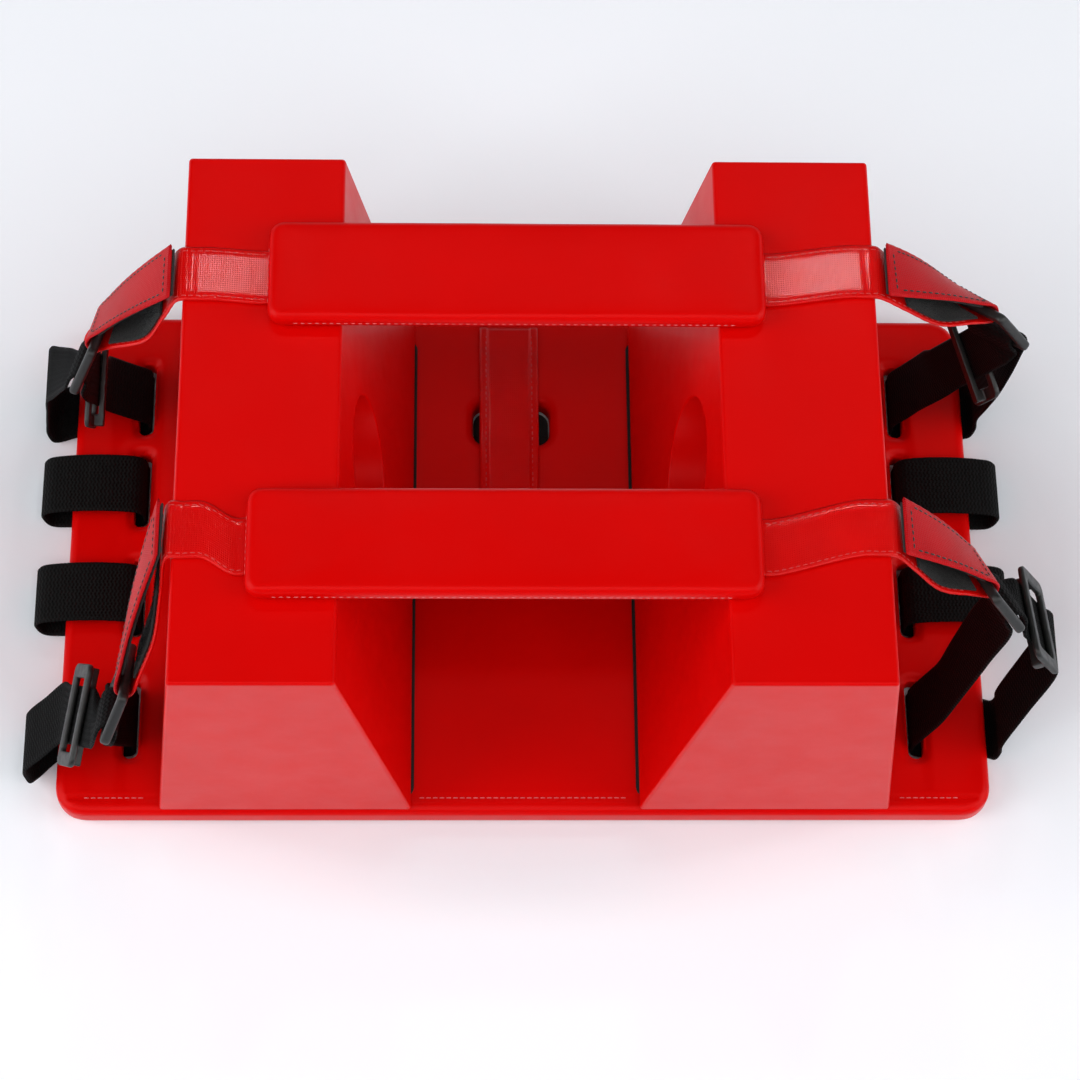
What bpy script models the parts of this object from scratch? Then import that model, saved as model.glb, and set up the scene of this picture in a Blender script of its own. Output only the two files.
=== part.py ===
"""Head immobiliser: a foam base plate, two foam head blocks held on by hook-and-loop patches,
two padded head straps, and the plastic rings, sliding adjusters and webbing loops that hold them.

Metres, +Z up, +X across the patient's head, +Y away from the front end.
The origin is the centre of the flat underside of the base plate.
"""
import bpy
import bmesh
from math import atan2, cos, pi, radians, sin
from mathutils import Matrix, Vector

# ---- driving dimensions -------------------------------------------------------------------
GAP = 0.0003                      # clearance left between pieces that touch

BASE_WIDTH = 0.405
BASE_DEPTH = 0.242
BASE_THICK = 0.013
BASE_CORNER = 0.013
BASE_EDGE = 0.0035

BLOCK_DEPTH = 0.235
BLOCK_CENTRE_Y = -0.003
BLOCK_TOP_Z = 0.163
BLOCK_INNER_FOOT = 0.049          # distance from the centre line, at the foot and at the top
BLOCK_OUTER_FOOT = 0.157
BLOCK_INNER_TOP = 0.0765
BLOCK_OUTER_TOP = 0.1412
BLOCK_EDGE = 0.0015
EAR_HOLE_RADIUS = 0.031
EAR_HOLE_Y = -0.003
EAR_HOLE_Z = 0.108

PATCH_THICK = 0.0008              # hook-and-loop patches between a block and the base
PATCH_INSET = 0.007
LOOP_EDGE = 0.0010                # the loop patch on the base shows this much inside the block's foot
BLOCK_FOOT_Z = BASE_THICK + 2 * PATCH_THICK + 3 * GAP

SLOT_X = 0.1712
SLOT_WIDTH = 0.0066
SLOT_LENGTH = 0.036
SLOT_CENTRES_Y = (-0.077, -0.020, 0.033, 0.079)     # near to far

STRIP_X = -0.006                  # flat strap down the middle of the base, over the centre hole
STRIP_WIDTH = 0.027
STRIP_NEAR_Y = 0.004
STRIP_FAR_Y = 0.114
STRIP_THICK = 0.002
STRIP_HEM_WIDTH = 0.004
STRIP_HEM_THICK = 0.0032
HOLE_LENGTH = 0.035
HOLE_WIDTH = 0.021
HOLE_Y = 0.067
LINING_THICK = 0.0008

WEB_WIDTH = 0.028                 # black webbing
WEB_THICK = 0.0014
WEB_IN_SLOT = SLOT_X - 0.0012     # webbing lies towards the block side of its slot
GROOVE_DEPTH = 0.0024             # the foam gives this much where webbing passes underneath
LOOP_REACH = 0.2145

STRAP_WIDTH = 0.025               # red coated strap
STRAP_THICK = 0.0014
PAD_LENGTH = 0.202
PAD_DEPTH = 0.046
PAD_THICK = 0.0085
POCKET = 0.012                    # how far a strap end runs inside the end of its pad

TAB_PATCH_THICK = 0.0010          # hook-and-loop patches on the strap and its tab

BAR = 0.0042                      # bar of a plastic ring
BAR_EDGE = 0.0014
WRAP = 0.0037                     # ring bar centre to the middle of a band wrapped round it
RING_LENGTH = 0.040
RING_SPAN = 0.022                 # bar centre to bar centre
ADJUSTER_LENGTH = 0.043
ADJUSTER_DEPTH = 0.024
ADJUSTER_BAR = 0.0042
ADJUSTER_THICK = 0.0026
RING_LEAD = 0.004                 # webbing leaves the ring square to its bar for this far
ADJUSTER_HOLD = 0.0125            # half the length of webbing that lies straight inside it
HOLD_LEAD = 0.003                 # it is already straight this far above and below that
PASSAGE = WEB_THICK / 2 + GAP     # half the gap the webbing runs through

RED = (0.62, 0.004, 0.004)
STRAP_RED = (0.60, 0.006, 0.008)
BLACK = (0.010, 0.010, 0.010)
HOOK_BLACK = (0.016, 0.019, 0.018)
PLASTIC = (0.035, 0.036, 0.035)


# ---- general helpers ----------------------------------------------------------------------
def clear_scene():
    for item in list(bpy.data.objects):
        bpy.data.objects.remove(item, do_unlink=True)


def new_collection(name):
    collection = bpy.data.collections.new(name)
    bpy.context.scene.collection.children.link(collection)
    return collection


def material(name, colour, roughness):
    shade = bpy.data.materials.new(name)
    shade.use_nodes = True
    shader = shade.node_tree.nodes["Principled BSDF"]
    shader.inputs["Base Color"].default_value = (*colour, 1.0)
    shader.inputs["Roughness"].default_value = roughness
    shader.inputs["Metallic"].default_value = 0.0
    return shade


def add_part(name, mesh, shade, smooth=False):
    item = bpy.data.objects.new(name, mesh)
    mesh.name = name
    mesh.materials.clear()
    mesh.materials.append(shade)
    PARTS.objects.link(item)
    for face in mesh.polygons:
        face.use_smooth = smooth
    return item


def set_origin(item, place):
    """Put a moving piece's origin on its joint without moving its surface."""
    item.data.transform(Matrix.Translation(-place))
    item.location = place


def add_cutter(name, mesh):
    item = bpy.data.objects.new(name, mesh)
    CUTTERS.objects.link(item)
    item.hide_render = True
    item.display_type = 'WIRE'
    return item


def cut(item, cutter):
    step = item.modifiers.new("cut_" + cutter.name, 'BOOLEAN')
    step.operation = 'DIFFERENCE'
    step.solver = 'EXACT'
    step.object = cutter


def box_mesh(name, low, high):
    low, high = Vector(low), Vector(high)
    work = bmesh.new()
    bmesh.ops.create_cube(work, size=1.0)
    size = high - low
    bmesh.ops.transform(work, matrix=Matrix.Diagonal((*size, 1.0)), verts=work.verts)
    bmesh.ops.translate(work, vec=(low + high) / 2, verts=work.verts)
    mesh = bpy.data.meshes.new(name)
    work.to_mesh(mesh)
    work.free()
    return mesh


def soft_box(name, low, high, corner, edge, shade, corner_steps=5, edge_steps=3):
    """A box with rounded upright corners and softly rounded top and bottom edges."""
    low, high = Vector(low), Vector(high)
    outline = rounded_rectangle((low.x + high.x) / 2, (low.y + high.y) / 2,
                                high.x - low.x, high.y - low.y, corner, corner_steps)
    mesh = plate_mesh(name, [outline], low.z, high.z, edge, edge_steps)
    return add_part(name, mesh, shade)


def rounded_rectangle(centre_x, centre_y, width, depth, radius, steps=5):
    points = []
    for quarter in range(4):
        sign_x = 1 if quarter in (0, 3) else -1
        sign_y = 1 if quarter in (0, 1) else -1
        corner_x = centre_x + sign_x * (width / 2 - radius)
        corner_y = centre_y + sign_y * (depth / 2 - radius)
        for step in range(steps + 1):
            angle = quarter * pi / 2 + step * pi / (2 * steps)
            points.append((corner_x + radius * cos(angle), corner_y + radius * sin(angle)))
    return points


def plate_mesh(name, outlines, low_z, high_z, edge=0.0, edge_steps=2):
    """A flat plate: the first outline is its rim, the others are holes through it."""
    curve = bpy.data.curves.new(name, 'CURVE')
    curve.dimensions = '2D'
    curve.fill_mode = 'BOTH'
    curve.extrude = (high_z - low_z) / 2 - edge
    curve.bevel_depth = edge
    curve.bevel_resolution = edge_steps
    curve.offset = -edge
    for outline in outlines:
        spline = curve.splines.new('POLY')
        spline.points.add(len(outline) - 1)
        for point, place in zip(spline.points, outline):
            point.co = (place[0], place[1], 0.0, 1.0)
        spline.use_cyclic_u = True
    holder = bpy.data.objects.new(name, curve)
    PARTS.objects.link(holder)
    bpy.context.view_layer.update()
    mesh = bpy.data.meshes.new_from_object(holder.evaluated_get(bpy.context.evaluated_depsgraph_get()))
    bpy.data.objects.remove(holder, do_unlink=True)
    bpy.data.curves.remove(curve)
    work = bmesh.new()
    work.from_mesh(mesh)
    bmesh.ops.remove_doubles(work, verts=work.verts, dist=0.00002)
    bmesh.ops.translate(work, vec=(0.0, 0.0, (low_z + high_z) / 2), verts=work.verts)
    bmesh.ops.recalc_face_normals(work, faces=work.faces)
    work.to_mesh(mesh)
    work.free()
    return mesh


def smooth_path(stations, closed, steps):
    """Centripetal Catmull-Rom curve through the stations; each is (centre, width direction)."""
    count = len(stations)
    spans = count if closed else count - 1
    path = []
    for span in range(spans):
        if closed:
            picks = [stations[(span + shift) % count] for shift in (-1, 0, 1, 2)]
        else:
            picks = [stations[min(max(span + shift, 0), count - 1)] for shift in (-1, 0, 1, 2)]
        knots = [(picks[i + 1][0] - picks[i][0]).length ** 0.5 for i in range(3)]
        for step in range(steps):
            t = step / steps
            centre = blend_four([pick[0] for pick in picks], knots, t)
            across = blend_four([pick[1] for pick in picks], knots, t).normalized()
            path.append((centre, across))
    if not closed:
        path.append(stations[-1])
    return path


def blend_four(points, knots, t):
    """Hermite step from the second point to the third, with tangents from their neighbours."""
    first, start, end, last = points
    before, here, after = knots
    slope = (end - start) / here
    leave = slope * here
    arrive = slope * here
    if before > 0:
        leave = here * ((start - first) / before - (end - first) / (before + here) + slope)
    if after > 0:
        arrive = here * (slope - (last - start) / (here + after) + (last - end) / after)
    return (start * (2 * t ** 3 - 3 * t * t + 1) + leave * (t ** 3 - 2 * t * t + t)
            + end * (3 * t * t - 2 * t ** 3) + arrive * (t ** 3 - t * t))


def ribbon(name, path, width, thick, shade, closed=False):
    """A flat band of constant width and thickness that follows the path."""
    work = bmesh.new()
    rows = []
    for centre, across in path:
        rows.append([work.verts.new(centre + across * width * share) for share in (-0.5, 0.0, 0.5)])
    spans = len(rows) if closed else len(rows) - 1
    for index in range(spans):
        here, there = rows[index], rows[(index + 1) % len(rows)]
        for column in range(2):
            work.faces.new((here[column], here[column + 1], there[column + 1], there[column]))
    bmesh.ops.recalc_face_normals(work, faces=work.faces)
    mesh = bpy.data.meshes.new(name)
    work.to_mesh(mesh)
    work.free()
    item = add_part(name, mesh, shade, smooth=False)
    skin = item.modifiers.new("thickness", 'SOLIDIFY')
    skin.thickness = thick
    skin.offset = 0.0
    skin.use_even_offset = False
    return item


def shifted(path, distance, toward):
    """The same path moved off the band's face, to the side that `toward` points to."""
    moved = []
    for index, (centre, across) in enumerate(path):
        before = path[max(index - 1, 0)][0]
        after = path[min(index + 1, len(path) - 1)][0]
        face = (after - before).cross(across).normalized()
        if face.dot(toward) < 0:
            face = -face
        moved.append((centre + face * distance, across))
    return moved


# ---- base -----------------------------------------------------------------------------------
def slot_outline(side, centre_y):
    return rounded_rectangle(side * SLOT_X, centre_y, SLOT_WIDTH, SLOT_LENGTH, SLOT_WIDTH / 2 - 0.0007)


def make_base(shade):
    outlines = [rounded_rectangle(0.0, 0.0, BASE_WIDTH, BASE_DEPTH, BASE_CORNER, 8)]
    for side in (-1, 1):
        for centre_y in SLOT_CENTRES_Y:
            outlines.append(slot_outline(side, centre_y))
    outlines.append(rounded_rectangle(STRIP_X + 0.001, HOLE_Y, HOLE_LENGTH, HOLE_WIDTH, 0.006))
    mesh = plate_mesh("base_plate", outlines, 0.0, BASE_THICK, BASE_EDGE, 3)
    base = add_part("base_plate", mesh, shade)
    for side_name, side in (("left", -1), ("right", 1)):
        for number, centre_y in enumerate(SLOT_CENTRES_Y):
            ends = sorted((side * SLOT_X, side * (BASE_WIDTH / 2 + 0.01)))
            half = WEB_WIDTH / 2 + 0.0015
            low = (ends[0], centre_y - half, -0.01)
            high = (ends[1], centre_y + half, GROOVE_DEPTH)
            name = f"groove_{side_name}_{number}"
            cut(base, add_cutter(name, box_mesh(name, low, high)))
    return base


def make_centre_strip(shade):
    """A flat strap with a thicker hem down each long edge."""
    half = STRIP_WIDTH / 2
    low_z = BASE_THICK + GAP
    section = [(-half, 0.0), (half, 0.0), (half, STRIP_HEM_THICK),
               (half - STRIP_HEM_WIDTH, STRIP_HEM_THICK), (half - STRIP_HEM_WIDTH, STRIP_THICK),
               (-half + STRIP_HEM_WIDTH, STRIP_THICK), (-half + STRIP_HEM_WIDTH, STRIP_HEM_THICK),
               (-half, STRIP_HEM_THICK)]
    mesh = plate_mesh("centre_strip", [section], -STRIP_FAR_Y, -STRIP_NEAR_Y)
    mesh.transform(Matrix.Translation((STRIP_X, 0.0, low_z)) @ Matrix.Rotation(radians(90), 4, 'X'))
    return add_part("centre_strip", mesh, shade)


def make_hole_lining(shade):
    """Thin black sheet that closes the centre hole, just above the underside."""
    outline = rounded_rectangle(STRIP_X + 0.001, HOLE_Y, HOLE_LENGTH - 2 * GAP, HOLE_WIDTH - 2 * GAP, 0.0058)
    mesh = plate_mesh("hole_lining", [outline], GAP, GAP + LINING_THICK)
    return add_part("hole_lining", mesh, shade)


# ---- head blocks ----------------------------------------------------------------------------
def make_block(side_name, side, foam, loop_shade, hook_shade):
    near = BLOCK_CENTRE_Y - BLOCK_DEPTH / 2
    far = BLOCK_CENTRE_Y + BLOCK_DEPTH / 2
    name = side_name + "_head_block"
    work = bmesh.new()
    bmesh.ops.create_cube(work, size=1.0)
    for vert in work.verts:
        top, outer = vert.co.z > 0, vert.co.x * side > 0
        reach = {(False, False): BLOCK_INNER_FOOT, (False, True): BLOCK_OUTER_FOOT,
                 (True, False): BLOCK_INNER_TOP, (True, True): BLOCK_OUTER_TOP}[(top, outer)]
        vert.co = (side * reach, far if vert.co.y > 0 else near,
                   BLOCK_TOP_Z if top else BLOCK_FOOT_Z)
    bmesh.ops.bevel(work, geom=work.edges[:], offset=BLOCK_EDGE, segments=3, profile=0.5,
                    affect='EDGES', clamp_overlap=True)
    mesh = bpy.data.meshes.new(name)
    work.to_mesh(mesh)
    work.free()
    block = add_part(name, mesh, foam)
    bore = bmesh.new()
    bmesh.ops.create_cone(bore, cap_ends=True, segments=64, radius1=EAR_HOLE_RADIUS,
                          radius2=EAR_HOLE_RADIUS, depth=0.2,
                          matrix=Matrix.Rotation(radians(90), 4, 'Y'))
    bmesh.ops.translate(bore, vec=(side * 0.105, EAR_HOLE_Y, EAR_HOLE_Z), verts=bore.verts)
    bore_mesh = bpy.data.meshes.new("ear_bore_" + side_name)
    bore.to_mesh(bore_mesh)
    bore.free()
    cut(block, add_cutter("ear_bore_" + side_name, bore_mesh))
    set_origin(block, Vector((side * (BLOCK_INNER_FOOT + BLOCK_OUTER_FOOT) / 2, BLOCK_CENTRE_Y, BLOCK_FOOT_Z)))
    loop_z = BASE_THICK + GAP
    hook_z = loop_z + PATCH_THICK + GAP
    for kind, low_z, inner, patch_shade in (("loop", loop_z, BLOCK_INNER_FOOT - LOOP_EDGE, loop_shade),
                                            ("hook", hook_z, BLOCK_INNER_FOOT + PATCH_INSET, hook_shade)):
        ends = sorted((side * inner, side * (BLOCK_OUTER_FOOT - PATCH_INSET)))
        low = (ends[0], near + PATCH_INSET, low_z)
        high = (ends[1], far - PATCH_INSET, low_z + PATCH_THICK)
        soft_box(f"{side_name}_block_{kind}_patch", low, high, 0.004, 0.0, patch_shade)


# ---- straps, rings, adjusters and webbing ------------------------------------------------------
class Corner:
    """Where one corner's ring hangs, and the directions its pieces share."""

    def __init__(self, name, side, slot_y, strap_y, bar, hang, turn, slump, belly, knee,
                 foot_y, leg, drop=0.0190, untwist=0.2, reach=LOOP_REACH):
        self.name = name
        self.side = side                  # -1 left, 1 right
        self.slot_y = slot_y
        self.strap_y = strap_y            # where the strap crosses the block's outer edge
        self.slump = slump                # sag of the strap below its folded-back tab
        self.foot_y = foot_y              # where the outer leg turns under the base's edge
        self.leg = leg                    # the webbing leg that carries the adjuster
        self.drop = drop                  # from the ring, along the leg, to the adjuster's middle
        self.reach = reach                # how far out the loop stands past the base's edge
        self.untwist = untwist            # share of the ring's turn the webbing has lost by then
        self.bar = self.spot(bar)         # middle of the ring bar the strap folds round
        self.belly = self.spot(belly)     # bend in the inner leg, above the slot
        self.knee = self.spot(knee)       # bend in the outer leg
        yaw, tilt = (radians(angle) for angle in turn)
        self.across = Vector((-side * sin(yaw) * cos(tilt), cos(yaw) * cos(tilt), -sin(tilt)))
        edge = self.spot((BLOCK_OUTER_TOP + 0.002, strap_y, BLOCK_TOP_Z + 0.003))
        self.tab_end = self.spot((BLOCK_OUTER_TOP + 0.0055, strap_y, BLOCK_TOP_Z + 0.0035))
        self.inward = self.square_to_bar(edge - self.bar)
        self.above = self.facing_out(self.inward.cross(self.across))
        self.down = self.square_to_bar(self.spot(hang))
        self.outward = self.facing_out(self.down.cross(self.across))
        self.lower = self.bar + self.down * RING_SPAN

    def spot(self, place):
        return Vector((self.side * place[0], place[1], place[2]))

    def facing_out(self, direction):
        return direction if direction.x * self.side > 0 else -direction

    def square_to_bar(self, direction):
        return (direction - self.across * direction.dot(self.across)).normalized()


LEVEL = Vector((0.0, 1.0, 0.0))


def strap_path(corner, pad_end, pad_y):
    """From inside the pad, along the block's top, over its outer edge and round the ring bar."""
    side, bar = corner.side, corner.bar
    flat_z = BLOCK_TOP_Z + GAP + STRAP_THICK / 2
    edge = BLOCK_OUTER_TOP
    path = [(Vector((side * u, y, flat_z)), LEVEL)
            for u, y in ((pad_end - POCKET, pad_y), (pad_end, pad_y), (pad_end + 0.005, pad_y),
                         (edge - 0.012, corner.strap_y), (edge - 0.004, corner.strap_y))]
    turn = Vector((side * (edge + 0.0018), corner.strap_y, flat_z - 0.0006))
    path.append((turn, LEVEL))
    leave = bar - corner.above * WRAP
    for share, sag in ((0.25, 0.4), (0.6, 1.0), (0.88, 0.3)):
        point = turn.lerp(leave, share) - corner.above * corner.slump * sag
        path.append((point, LEVEL.lerp(corner.across, share).normalized()))
    for angle in (0, 45, 90, 135, 180):
        swing = radians(angle)
        spot = bar - corner.above * WRAP * cos(swing) - corner.inward * WRAP * sin(swing)
        path.append((spot, corner.across))
    return smooth_path(path, False, 4)


def make_strap(corner, name, pad_end, pad_y, red, loop_shade, hook_shade):
    path = strap_path(corner, pad_end, pad_y)
    ribbon(name, path, STRAP_WIDTH, STRAP_THICK, red)
    spacing = (STRAP_THICK + TAB_PATCH_THICK) / 2 + GAP + 0.0001
    hanging = shifted(path[24:34], spacing, corner.above)
    ribbon(name + "_loop_patch", hanging, STRAP_WIDTH - 0.003, TAB_PATCH_THICK, loop_shade)

    root = corner.bar + corner.above * WRAP + corner.inward * GAP
    hinge = corner.bar + corner.above * (WRAP + STRAP_THICK / 2)
    tab = []
    for share, rise in ((0.0, 0.0), (0.12, 0.0004), (0.4, 0.0012), (0.7, 0.0010), (1.0, 0.0)):
        spot = root.lerp(corner.tab_end, share) + corner.above * rise
        tab.append((spot, corner.across.lerp(LEVEL, share).normalized()))
    tab_path = smooth_path(tab, False, 4)
    set_origin(ribbon(name + "_tab", tab_path, STRAP_WIDTH, STRAP_THICK, red), hinge)
    under = shifted(tab_path[3:], spacing, -corner.above)
    patch = ribbon(name + "_tab_hook_patch", under, STRAP_WIDTH - 0.003, TAB_PATCH_THICK, hook_shade)
    set_origin(patch, hinge)


def frame_at(centre, along, across, normal):
    """Placement matrix with local X along the bars, Y along the band and Z out of its face."""
    turn = Matrix((across, along, normal)).transposed().to_4x4()
    return Matrix.Translation(centre) @ turn


def make_ring(corner, shade):
    outer = rounded_rectangle(0.0, 0.0, RING_LENGTH, RING_SPAN + BAR, 0.003, 4)
    window = rounded_rectangle(0.0, 0.0, RING_LENGTH - 2 * BAR, RING_SPAN - BAR, 0.0015, 3)
    name = corner.name + "_ring"
    mesh = plate_mesh(name, [outer, window], -BAR / 2, BAR / 2, BAR_EDGE, 3)
    middle = (corner.bar + corner.lower) / 2
    mesh.transform(frame_at(middle, corner.down, corner.across, corner.across.cross(corner.down)))
    add_part(name, mesh, shade)


def leg_ends(corner, leg):
    """The straight upper run of one webbing leg, from just clear of the ring to its bend."""
    clear = corner.lower + corner.down * RING_LEAD
    if leg == "outer":
        return clear + corner.outward * WRAP, corner.knee
    return clear - corner.outward * WRAP, corner.belly


def leg_stations(corner, leg):
    """Down one leg, losing the turn of the ring: part above the adjuster, the rest below it."""
    top, bend = leg_ends(corner, leg)
    if leg != corner.leg:
        return [(top.lerp(bend, share), corner.across.lerp(LEVEL, share).normalized())
                for share in (0.0, 0.3, 0.7, 1.0)]
    length = (bend - top).length
    held = corner.across.lerp(LEVEL, corner.untwist).normalized()
    lean = abs(held.dot(bend - top)) / length
    hold = ADJUSTER_HOLD + lean * WEB_WIDTH / 2
    before, after = corner.drop - hold, corner.drop + hold
    marks = [(0.0, corner.across), (before - HOLD_LEAD, held), (before, held), (corner.drop, held),
             (after, held), (after + HOLD_LEAD, held), (length, LEVEL)]
    return [(top.lerp(bend, distance / length), across) for distance, across in marks]


def make_adjuster(corner, shade):
    """Sliding bar adjuster: the webbing runs between its frame and its middle bar."""
    centre, across = leg_stations(corner, corner.leg)[3]
    top, bend = leg_ends(corner, corner.leg)
    along = (bend - top).normalized()
    across = (across - along * across.dot(along)).normalized()
    normal = corner.facing_out(across.cross(along))
    place = frame_at(centre, normal.cross(across), across, normal)
    name = corner.name + "_adjuster"
    outer = rounded_rectangle(0.0, 0.0, ADJUSTER_LENGTH, ADJUSTER_DEPTH, 0.0035, 4)
    window = rounded_rectangle(0.0, 0.0, WEB_WIDTH + 0.003, ADJUSTER_DEPTH - 2 * ADJUSTER_BAR, 0.001, 2)
    mesh = plate_mesh(name, [outer, window], PASSAGE, PASSAGE + ADJUSTER_THICK, 0.0008, 2)
    mesh.transform(place)
    adjuster = add_part(name, mesh, shade)
    half, inner = ADJUSTER_LENGTH / 2 - 0.001, WEB_WIDTH / 2 + 0.0015
    low, high = -PASSAGE - ADJUSTER_THICK, PASSAGE + ADJUSTER_THICK / 2
    bridge_outline = [(-half, low), (half, low), (half, high), (inner, high), (inner, -PASSAGE),
                      (-inner, -PASSAGE), (-inner, high), (-half, high)]
    bridge = plate_mesh("bridge_" + corner.name, [bridge_outline], -ADJUSTER_BAR / 2, ADJUSTER_BAR / 2)
    bridge.transform(place @ Matrix.Rotation(radians(90), 4, 'X'))
    step = adjuster.modifiers.new("middle_bar", 'BOOLEAN')
    step.operation = 'UNION'
    step.solver = 'EXACT'
    step.object = add_cutter("bridge_" + corner.name, bridge)
    set_origin(adjuster, centre)


def under_base(side, slot_y, foot_y, reach=LOOP_REACH):
    """The part of every webbing loop that passes round the base's edge and under it."""
    low = 0.0004 + WEB_THICK / 2
    points = [(reach + 0.0008, 0.0115), (reach - 0.0004, 0.0045), (reach - 0.0030, 0.0015),
              (0.2000, low), (0.1900, low), (0.1790, low), (0.1728, low + 0.0005), (WEB_IN_SLOT, 0.0042)]
    stations = []
    for u, z in points:
        share = min(1.0, max(0.0, (u - 0.203) / (reach - 0.203)))
        stations.append((Vector((side * u, slot_y + (foot_y - slot_y) * share, z)), LEVEL))
    return stations


def make_corner_webbing(corner, shade):
    side, across = corner.side, corner.across
    slot = [(Vector((side * WEB_IN_SLOT, corner.slot_y, z)), LEVEL) for z in (0.0085, 0.0125)]
    inner = leg_stations(corner, "inner")[::-1]
    inner.insert(0, (slot[-1][0].lerp(corner.belly, 0.5), LEVEL))
    wrap = []
    for angle in (0, 45, 90, 135, 180):
        swing = radians(angle)
        spot = corner.lower - corner.outward * WRAP * cos(swing) - corner.down * WRAP * sin(swing)
        wrap.append((spot, across))
    foot = Vector((side * corner.reach, corner.foot_y, 0.020))
    outer = leg_stations(corner, "outer") + [(corner.knee.lerp(foot, 0.5), LEVEL), (foot, LEVEL)]
    stations = slot + inner + wrap + outer + under_base(side, corner.slot_y, corner.foot_y, corner.reach)
    ribbon(corner.name + "_webbing", smooth_path(stations, True, 3), WEB_WIDTH, WEB_THICK, shade, closed=True)


def make_plain_webbing(name, side, y, shade, reach=LOOP_REACH):
    """A plain closed loop through a base slot and round the base's edge."""
    points = [(WEB_IN_SLOT, 0.0085), (WEB_IN_SLOT + 0.0004, 0.0135), (0.1735, 0.0168), (0.183, 0.0186),
              (0.195, 0.0188), (0.206, 0.0174), (reach - 0.0018, 0.0152)]
    top = [(Vector((side * u, y, z)), LEVEL) for u, z in points]
    stations = top + under_base(side, y, y, reach)
    ribbon(name, smooth_path(stations, True, 3), WEB_WIDTH, WEB_THICK, shade, closed=True)


# ---- pads -----------------------------------------------------------------------------------------
def make_pad(name, centre_x, centre_y, shade):
    """Flat padded cushion on the block tops, with a pocket in each end for the strap."""
    low_z = BLOCK_TOP_Z + GAP
    half_x, half_y = PAD_LENGTH / 2, PAD_DEPTH / 2
    pad = soft_box(name, (centre_x - half_x, centre_y - half_y, low_z),
                   (centre_x + half_x, centre_y + half_y, low_z + PAD_THICK), 0.006, 0.0032, shade)
    for side_name, side in (("left", -1), ("right", 1)):
        end = centre_x + side * half_x
        reach = sorted((end - side * (POCKET + 0.001), end + side * 0.01))
        half = STRAP_WIDTH / 2 + GAP
        low = (reach[0], centre_y - half, low_z - 0.01)
        high = (reach[1], centre_y + half, low_z + STRAP_THICK + GAP)
        tool = f"pocket_{name}_{side_name}"
        cut(pad, add_cutter(tool, box_mesh(tool, low, high)))


# ---- assembly ---------------------------------------------------------------------------------------
FOREHEAD_PAD = (-0.0055, 0.0570)      # pad centre X and Y
CHIN_PAD = (-0.0110, -0.0630)

CORNERS = (
    Corner("left_forehead", -1, SLOT_CENTRES_Y[3], 0.0585, bar=(0.180, 0.059, 0.116),
           hang=(0.40, -0.35, -0.85), turn=(8, 26), slump=0.007, belly=(0.186, 0.076, 0.032),
           knee=(0.209, 0.066, 0.060), foot_y=0.074, leg="inner", drop=0.029, untwist=0.6),
    Corner("right_forehead", 1, SLOT_CENTRES_Y[3], 0.0610, bar=(0.186, 0.061, 0.137),
           hang=(0.55, -0.10, -0.83), turn=(40, 30), slump=0.005, belly=(0.180, 0.076, 0.038),
           knee=(0.207, 0.064, 0.075), foot_y=0.078, leg="inner", drop=0.029, untwist=0.35, reach=0.2070),
    Corner("left_chin", -1, SLOT_CENTRES_Y[0], -0.0560, bar=(0.1615, -0.097, 0.116),
           hang=(0.35, -0.30, -0.85), turn=(0, 34), slump=0.003, belly=(0.178, -0.088, 0.046),
           knee=(0.197, -0.086, 0.042), foot_y=-0.091, leg="outer", drop=0.030, untwist=0.8),
    Corner("right_chin", 1, SLOT_CENTRES_Y[0], -0.0545, bar=(0.1800, -0.061, 0.136),
           hang=(0.60, -0.45, -0.65), turn=(18, 26), slump=0.005, belly=(0.1780, -0.0765, 0.042),
           knee=(0.2220, -0.067, 0.074), foot_y=-0.080, leg="outer", drop=0.0235, untwist=0.75, reach=0.2070),
)


def build():
    red = material("red_coated_foam", RED, 0.32)
    strap_red = material("red_coated_strap", STRAP_RED, 0.40)
    webbing = material("black_webbing", BLACK, 0.80)
    loop_black = material("loop_pile", HOOK_BLACK, 0.95)
    hook_black = material("hook_tape", HOOK_BLACK, 0.70)
    plastic = material("dark_plastic", PLASTIC, 0.40)

    make_base(red)
    make_centre_strip(strap_red)
    make_hole_lining(webbing)
    for side_name, side in (("left", -1), ("right", 1)):
        make_block(side_name, side, red, loop_black, hook_black)
        for number in (1, 2):
            place_name = {1: "near", 2: "far"}[number]
            make_plain_webbing(f"{side_name}_{place_name}_side_webbing", side, SLOT_CENTRES_Y[number], webbing)
    make_pad("forehead_pad", *FOREHEAD_PAD, red)
    make_pad("chin_pad", *CHIN_PAD, red)
    for corner in CORNERS:
        pad_x, pad_y = FOREHEAD_PAD if "forehead" in corner.name else CHIN_PAD
        pad_end = PAD_LENGTH / 2 + pad_x * corner.side
        make_strap(corner, corner.name + "_strap", pad_end, pad_y, strap_red, loop_black, hook_black)
        make_ring(corner, plastic)
        make_adjuster(corner, plastic)
        make_corner_webbing(corner, webbing)


clear_scene()
PARTS = new_collection("head_immobiliser")
CUTTERS = new_collection("cutters")
build()
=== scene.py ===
"""The looks of the head immobiliser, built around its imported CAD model.

Bands (straps, tabs, webbing and hook-and-loop patches) are swept along the same routes as the CAD
solids, with hems, ribs and stitches. The base, the pads, the rings and the adjusters are finely
remeshed copies of their CAD solids, and the head blocks are built again with finer edges.
Metres, in the frame of the CAD model.
"""
import random
from collections import namedtuple
from math import cos, exp, pi, radians, sin

import bmesh
import bpy
from mathutils import Matrix, Vector, noise


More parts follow.
